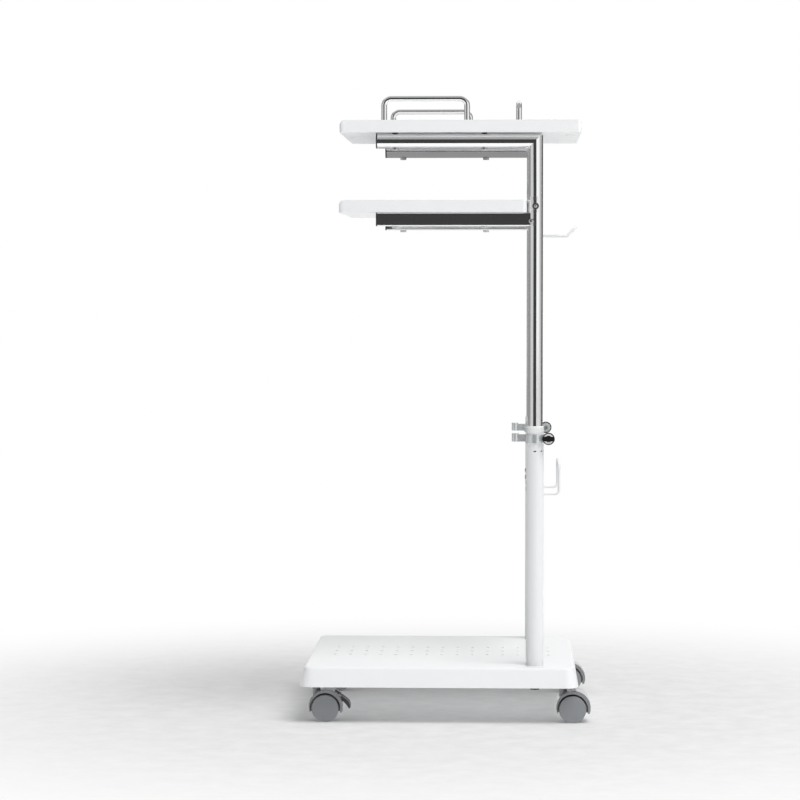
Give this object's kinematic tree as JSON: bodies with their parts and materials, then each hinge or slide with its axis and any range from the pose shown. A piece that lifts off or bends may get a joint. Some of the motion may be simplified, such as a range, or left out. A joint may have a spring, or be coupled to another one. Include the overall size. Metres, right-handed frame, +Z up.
{
  "type": "height-adjustable projector cart",
  "caption": "White projector cart on twin-wheel casters with two telescopic masts, two shelves, wire guards and cable hooks.",
  "frame": {"origin": "on the floor under the middle of the cart's length and width", "axes": "+Z up; +X towards the rear, where the masts stand; +Y towards the cart's right side; the front edge of the shelves faces -X"},
  "size_m": [0.426, 0.4, 0.9174],
  "materials": {
    "white_powder_coat": "white powder coat, satin",
    "chrome_tube": "polished chrome plate",
    "white_board": "white laminate on particle board, satin",
    "white_plastic": "white nylon, satin",
    "grey_caster_plastic": "grey nylon, satin",
    "grey_wheel_plastic": "grey nylon, satin",
    "dark_plastic": "dark plastic, satin",
    "black_knob_plastic": "black plastic, glossy",
    "cast_clamp": "die-cast, matt",
    "grey_saddle": "grey, satin",
    "zinc_steel": "zinc plated"
  },
  "bodies": {
    "base_frame": {"base_deck": "white_powder_coat", "base_rail_left": "zinc_steel", "base_rail_right": "zinc_steel", "caster_stems": "zinc_steel", "caster_nuts": "zinc_steel", "mast_bolts": "zinc_steel", "mast_foot_plug_left": "dark_plastic", "mast_foot_plug_right": "dark_plastic", "outer_mast_left": "white_powder_coat", "outer_mast_right": "white_powder_coat", "mast_bush_left": "white_plastic", "mast_bush_right": "white_plastic", "clamp_ring_left": "cast_clamp", "clamp_ring_right": "cast_clamp", "cross_plate": "white_powder_coat", "cross_plate_screws": "zinc_steel", "lower_cable_hook": "white_powder_coat"},
    "upper_frame": {"inner_mast_left": "chrome_tube", "inner_mast_right": "chrome_tube", "upper_arm_left": "chrome_tube", "upper_arm_right": "chrome_tube", "upper_arm_plugs": "dark_plastic", "upper_cross_tube": "chrome_tube", "upper_cable_hook": "white_powder_coat", "upper_shelf": "white_board", "shelf_pads": "dark_plastic", "shelf_screws": "zinc_steel", "lower_shelf": "white_board", "lower_arm_left": "chrome_tube", "lower_arm_right": "chrome_tube", "lower_arm_caps": "dark_plastic", "saddle_left": "grey_saddle", "saddle_right": "grey_saddle", "saddle_bolts": "zinc_steel", "guard_left": "chrome_tube", "guard_right": "chrome_tube", "guard_rear": "chrome_tube"},
    "clamp_handle_left": {"clamp_screw_left": "zinc_steel", "clamp_knob_left": "black_knob_plastic"},
    "clamp_handle_right": {"clamp_screw_right": "zinc_steel", "clamp_knob_right": "black_knob_plastic"},
    "caster_front_left": {"hood_front_left": "grey_caster_plastic", "axle_front_left": "zinc_steel"},
    "wheel_front_left_outer": {"wheel_front_left_outer": "grey_wheel_plastic"},
    "wheel_front_left_inner": {"wheel_front_left_inner": "grey_wheel_plastic"},
    "brake_left": {"brake_pedal_left": "dark_plastic"},
    "caster_front_right": {"hood_front_right": "grey_caster_plastic", "axle_front_right": "zinc_steel"},
    "wheel_front_right_outer": {"wheel_front_right_outer": "grey_wheel_plastic"},
    "wheel_front_right_inner": {"wheel_front_right_inner": "grey_wheel_plastic"},
    "brake_right": {"brake_pedal_right": "dark_plastic"},
    "caster_rear_left": {"hood_rear_left": "grey_caster_plastic", "axle_rear_left": "zinc_steel"},
    "wheel_rear_left_outer": {"wheel_rear_left_outer": "grey_wheel_plastic"},
    "wheel_rear_left_inner": {"wheel_rear_left_inner": "grey_wheel_plastic"},
    "caster_rear_right": {"hood_rear_right": "grey_caster_plastic", "axle_rear_right": "zinc_steel"},
    "wheel_rear_right_outer": {"wheel_rear_right_outer": "grey_wheel_plastic"},
    "wheel_rear_right_inner": {"wheel_rear_right_inner": "grey_wheel_plastic"}
  },
  "joints": [
    {"name": "height_slide", "type": "slide", "parent": "base_frame", "child": "upper_frame", "axis": [0, 0, 1], "range_m": [-0.17, 0.09]},
    {"name": "clamp_turn_left", "type": "hinge", "parent": "base_frame", "child": "clamp_handle_left", "pos_m": [0.15055, -0.16, 0.4165], "axis": [0, -1, 0], "range_deg": [0, 270]},
    {"name": "clamp_turn_right", "type": "hinge", "parent": "base_frame", "child": "clamp_handle_right", "pos_m": [0.15055, 0.16, 0.4165], "axis": [0, 1, 0], "range_deg": [0, 270]},
    {"name": "swivel_front_left", "type": "hinge", "parent": "base_frame", "child": "caster_front_left", "pos_m": [-0.19045, -0.16, 0.052], "axis": [0, 0, 1], "continuous": true},
    {"name": "spin_front_left_outer", "type": "hinge", "parent": "caster_front_left", "child": "wheel_front_left_outer", "pos_m": [-0.17645, -0.1715, 0.02], "axis": [0, 1, 0], "continuous": true},
    {"name": "spin_front_left_inner", "type": "hinge", "parent": "caster_front_left", "child": "wheel_front_left_inner", "pos_m": [-0.17645, -0.1485, 0.02], "axis": [0, 1, 0], "continuous": true},
    {"name": "brake_lift_left", "type": "hinge", "parent": "caster_front_left", "child": "brake_left", "pos_m": [-0.15695, -0.16, 0.0365], "axis": [0, -1, 0], "range_deg": [0, 35]},
    {"name": "swivel_front_right", "type": "hinge", "parent": "base_frame", "child": "caster_front_right", "pos_m": [-0.19045, 0.16, 0.052], "axis": [0, 0, 1], "continuous": true},
    {"name": "spin_front_right_outer", "type": "hinge", "parent": "caster_front_right", "child": "wheel_front_right_outer", "pos_m": [-0.17645, 0.1715, 0.02], "axis": [0, 1, 0], "continuous": true},
    {"name": "spin_front_right_inner", "type": "hinge", "parent": "caster_front_right", "child": "wheel_front_right_inner", "pos_m": [-0.17645, 0.1485, 0.02], "axis": [0, 1, 0], "continuous": true},
    {"name": "brake_lift_right", "type": "hinge", "parent": "caster_front_right", "child": "brake_right", "pos_m": [-0.15695, 0.16, 0.0365], "axis": [0, -1, 0], "range_deg": [0, 35]},
    {"name": "swivel_rear_left", "type": "hinge", "parent": "base_frame", "child": "caster_rear_left", "pos_m": [0.17255, -0.16, 0.052], "axis": [0, 0, 1], "continuous": true},
    {"name": "spin_rear_left_outer", "type": "hinge", "parent": "caster_rear_left", "child": "wheel_rear_left_outer", "pos_m": [0.18655, -0.1715, 0.02], "axis": [0, 1, 0], "continuous": true},
    {"name": "spin_rear_left_inner", "type": "hinge", "parent": "caster_rear_left", "child": "wheel_rear_left_inner", "pos_m": [0.18655, -0.1485, 0.02], "axis": [0, 1, 0], "continuous": true},
    {"name": "swivel_rear_right", "type": "hinge", "parent": "base_frame", "child": "caster_rear_right", "pos_m": [0.17255, 0.16, 0.052], "axis": [0, 0, 1], "continuous": true},
    {"name": "spin_rear_right_outer", "type": "hinge", "parent": "caster_rear_right", "child": "wheel_rear_right_outer", "pos_m": [0.18655, 0.1715, 0.02], "axis": [0, 1, 0], "continuous": true},
    {"name": "spin_rear_right_inner", "type": "hinge", "parent": "caster_rear_right", "child": "wheel_rear_right_inner", "pos_m": [0.18655, 0.1485, 0.02], "axis": [0, 1, 0], "continuous": true}
  ]
}
